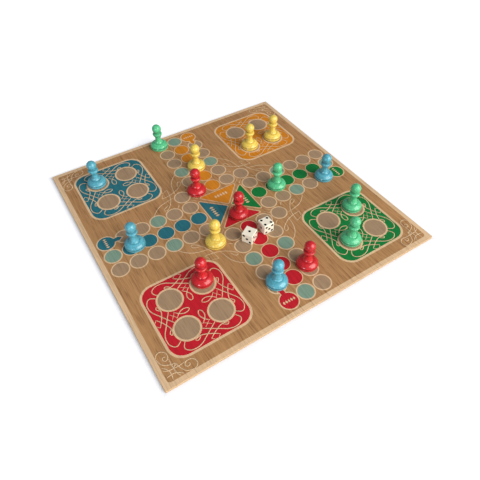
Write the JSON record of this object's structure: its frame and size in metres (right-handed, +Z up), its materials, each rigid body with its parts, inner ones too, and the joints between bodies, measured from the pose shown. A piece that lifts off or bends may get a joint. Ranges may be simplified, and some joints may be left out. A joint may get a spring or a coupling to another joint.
{
  "type": "ludo board",
  "caption": "Flat square wooden ludo board printed with coloured yards, tracks and home triangles, with turned pawns and dice standing on it.",
  "frame": {"origin": "centre of the board's underside", "axes": "+Z up, normal to the board; +X from the red yard to the green yard; +Y from the red yard to the blue yard"},
  "size_m": [0.4, 0.4, 0.0458],
  "materials": {
    "panel_wood": "bare, sanded",
    "printed_veneer": "satin, stained and printed",
    "back_veneer_wood": "satin",
    "red_painted_wood": "semi-gloss paint",
    "green_painted_wood": "semi-gloss paint",
    "yellow_painted_wood": "semi-gloss paint",
    "blue_painted_wood": "semi-gloss paint",
    "die_plastic": "smooth, slightly glossy",
    "pip_paint": "matte black paint"
  },
  "bodies": {
    "board": {"board_core": "panel_wood", "face_veneer": "printed_veneer", "back_veneer": "back_veneer_wood"},
    "red_pawn_1": {"red_pawn_1": "red_painted_wood"},
    "red_pawn_2": {"red_pawn_2": "red_painted_wood"},
    "red_pawn_3": {"red_pawn_3": "red_painted_wood"},
    "red_pawn_4": {"red_pawn_4": "red_painted_wood"},
    "green_pawn_1": {"green_pawn_1": "green_painted_wood"},
    "green_pawn_2": {"green_pawn_2": "green_painted_wood"},
    "green_pawn_3": {"green_pawn_3": "green_painted_wood"},
    "green_pawn_4": {"green_pawn_4": "green_painted_wood"},
    "yellow_pawn_1": {"yellow_pawn_1": "yellow_painted_wood"},
    "yellow_pawn_2": {"yellow_pawn_2": "yellow_painted_wood"},
    "yellow_pawn_3": {"yellow_pawn_3": "yellow_painted_wood"},
    "yellow_pawn_4": {"yellow_pawn_4": "yellow_painted_wood"},
    "blue_pawn_1": {"blue_pawn_1": "blue_painted_wood"},
    "blue_pawn_2": {"blue_pawn_2": "blue_painted_wood"},
    "blue_pawn_3": {"blue_pawn_3": "blue_painted_wood"},
    "blue_pawn_4": {"blue_pawn_4": "blue_painted_wood"},
    "die_1": {"die_1": "die_plastic", "die_1_pips": "pip_paint"},
    "die_2": {"die_2": "die_plastic", "die_2_pips": "pip_paint"}
  },
  "joints": [
    {"name": "red_pawn_1_lift", "type": "slide", "parent": "board", "child": "red_pawn_1", "axis": [0, 0, 1], "range_m": [0, 0.06]},
    {"name": "red_pawn_2_lift", "type": "slide", "parent": "board", "child": "red_pawn_2", "axis": [0, 0, 1], "range_m": [0, 0.06]},
    {"name": "red_pawn_3_lift", "type": "slide", "parent": "board", "child": "red_pawn_3", "axis": [0, 0, 1], "range_m": [0, 0.06]},
    {"name": "red_pawn_4_lift", "type": "slide", "parent": "board", "child": "red_pawn_4", "axis": [0, 0, 1], "range_m": [0, 0.06]},
    {"name": "green_pawn_1_lift", "type": "slide", "parent": "board", "child": "green_pawn_1", "axis": [0, 0, 1], "range_m": [0, 0.06]},
    {"name": "green_pawn_2_lift", "type": "slide", "parent": "board", "child": "green_pawn_2", "axis": [0, 0, 1], "range_m": [0, 0.06]},
    {"name": "green_pawn_3_lift", "type": "slide", "parent": "board", "child": "green_pawn_3", "axis": [0, 0, 1], "range_m": [0, 0.06]},
    {"name": "green_pawn_4_lift", "type": "slide", "parent": "board", "child": "green_pawn_4", "axis": [0, 0, 1], "range_m": [0, 0.06]},
    {"name": "yellow_pawn_1_lift", "type": "slide", "parent": "board", "child": "yellow_pawn_1", "axis": [0, 0, 1], "range_m": [0, 0.06]},
    {"name": "yellow_pawn_2_lift", "type": "slide", "parent": "board", "child": "yellow_pawn_2", "axis": [0, 0, 1], "range_m": [0, 0.06]},
    {"name": "yellow_pawn_3_lift", "type": "slide", "parent": "board", "child": "yellow_pawn_3", "axis": [0, 0, 1], "range_m": [0, 0.06]},
    {"name": "yellow_pawn_4_lift", "type": "slide", "parent": "board", "child": "yellow_pawn_4", "axis": [0, 0, 1], "range_m": [0, 0.06]},
    {"name": "blue_pawn_1_lift", "type": "slide", "parent": "board", "child": "blue_pawn_1", "axis": [0, 0, 1], "range_m": [0, 0.06]},
    {"name": "blue_pawn_2_lift", "type": "slide", "parent": "board", "child": "blue_pawn_2", "axis": [0, 0, 1], "range_m": [0, 0.06]},
    {"name": "blue_pawn_3_lift", "type": "slide", "parent": "board", "child": "blue_pawn_3", "axis": [0, 0, 1], "range_m": [0, 0.06]},
    {"name": "blue_pawn_4_lift", "type": "slide", "parent": "board", "child": "blue_pawn_4", "axis": [0, 0, 1], "range_m": [0, 0.06]},
    {"name": "die_1_lift", "type": "slide", "parent": "board", "child": "die_1", "axis": [0, 0, 1], "range_m": [0, 0.06]},
    {"name": "die_2_lift", "type": "slide", "parent": "board", "child": "die_2", "axis": [0, 0, 1], "range_m": [0, 0.06]}
  ]
}
